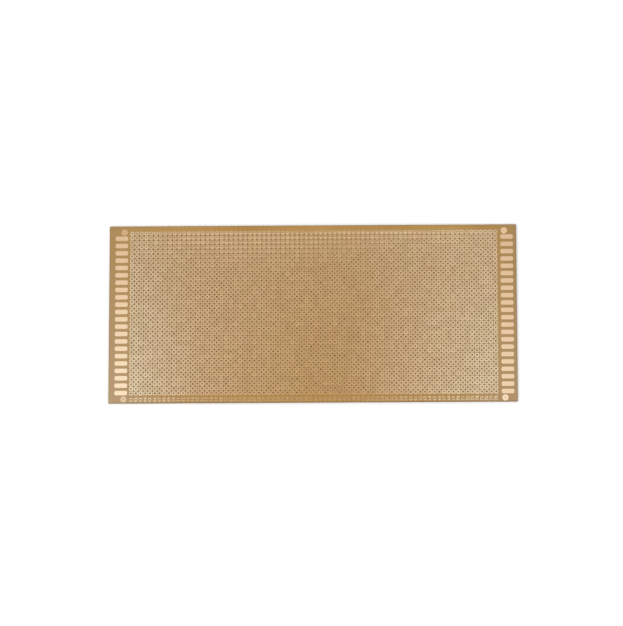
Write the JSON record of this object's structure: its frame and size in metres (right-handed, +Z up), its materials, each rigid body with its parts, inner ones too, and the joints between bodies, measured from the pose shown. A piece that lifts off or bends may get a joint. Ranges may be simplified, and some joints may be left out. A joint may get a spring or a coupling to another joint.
{
  "type": "prototype circuit board",
  "caption": "Single-sided perforated prototype board, 219 x 98 mm, with a 78 x 36 grid of 1 mm holes at 2.54 mm pitch and 22 edge contacts at each end.",
  "frame": {"origin": "centre of the underside", "axes": "+X along the long side, to the right with the copper side up and the margin of column marks nearest; +Y across the board, away from that margin; +Z up, out of the copper side"},
  "size_m": [0.2192, 0.0984, 0.0012],
  "materials": {
    "laminate": "satin",
    "copper": "satin"
  },
  "bodies": {
    "root": {"laminate_strip_1": "laminate", "laminate_strip_2": "laminate", "laminate_strip_3": "laminate", "laminate_strip_4": "laminate", "laminate_strip_5": "laminate", "laminate_strip_6": "laminate", "laminate_strip_7": "laminate", "laminate_strip_8": "laminate", "laminate_strip_9": "laminate", "left_contacts": "copper", "right_contacts": "copper", "corner_pads": "copper"}
  },
  "joints": []
}
